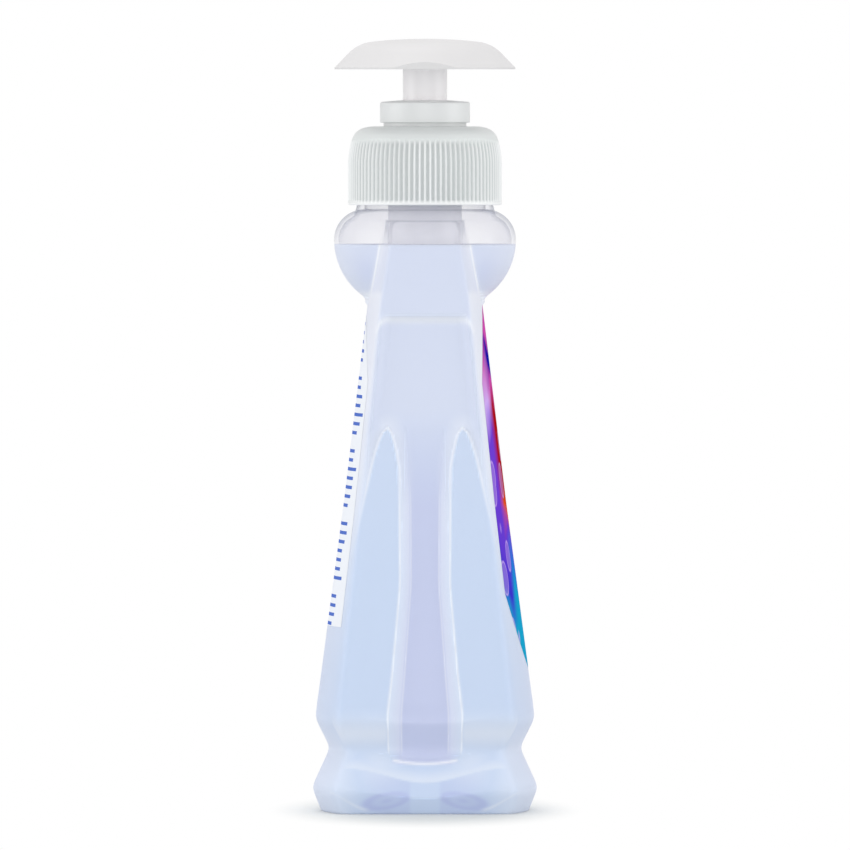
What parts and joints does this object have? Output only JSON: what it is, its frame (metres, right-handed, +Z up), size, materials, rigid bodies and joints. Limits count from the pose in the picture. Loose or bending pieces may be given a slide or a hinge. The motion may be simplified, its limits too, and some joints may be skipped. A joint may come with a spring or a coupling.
{
  "type": "soap dispenser bottle",
  "caption": "Clear tapered hand soap bottle with a lotion pump, a ribbed screw closure, a wide domed head, a pinched foot, grip flutes on its ends and a film label on each broad side.",
  "frame": {"origin": "on the ground under the middle of the base, on the axis of the neck and the pump", "axes": "+Z up, X along the broad sides with the spout towards -X, -Y towards the front label, +Y towards the back label"},
  "size_m": [0.0732, 0.047, 0.162],
  "materials": {
    "clear_bottle": "clear blown plastic, smooth and glossy",
    "soap": "clear pale liquid",
    "front_film": "printed film, satin",
    "back_film": "printed film, satin",
    "closure_plastic": "moulded polypropylene, satin",
    "pump_plastic": "moulded polypropylene, satin",
    "head_plastic": "moulded polypropylene, satin",
    "tube_plastic": "extruded polyethylene, milky",
    "foam": "closed-cell foam",
    "steel": "stainless, bright"
  },
  "bodies": {
    "bottle": {"bottle": "clear_bottle", "liquid_soap": "soap", "front_label": "front_film", "back_label": "back_film"},
    "pump_unit": {"pump_housing": "pump_plastic", "gasket": "foam", "dip_tube": "tube_plastic", "inlet_ball": "steel", "chaplet": "pump_plastic", "return_spring": "steel"},
    "closure": {"closure": "closure_plastic"},
    "plunger": {"piston": "tube_plastic"},
    "actuator": {"stem": "head_plastic", "valve_plug": "pump_plastic", "pump_head": "head_plastic"}
  },
  "joints": [
    {"name": "pump_lift", "type": "slide", "parent": "bottle", "child": "pump_unit", "axis": [0, 0, 1], "range_m": [0, 0.00634]},
    {"name": "closure_turn", "type": "hinge", "parent": "pump_unit", "child": "closure", "pos_m": [0, 0, 0.1353], "axis": [0, 0, 1], "range_deg": [0, 540]},
    {"name": "pump_stroke", "type": "slide", "parent": "pump_unit", "child": "plunger", "axis": [0, 0, -1], "range_m": [0, 0.008], "stiffness_N_per_m": 900, "springref_m": -0.007, "deforming": ["return_spring"]},
    {"name": "head_swivel", "type": "hinge", "parent": "plunger", "child": "actuator", "pos_m": [0, 0, 0.1526], "axis": [0, 0, 1], "continuous": true}
  ],
  "couplings": [
    {"joint": "closure_turn", "follows": "pump_lift", "rad_per_m": 1485.4}
  ]
}
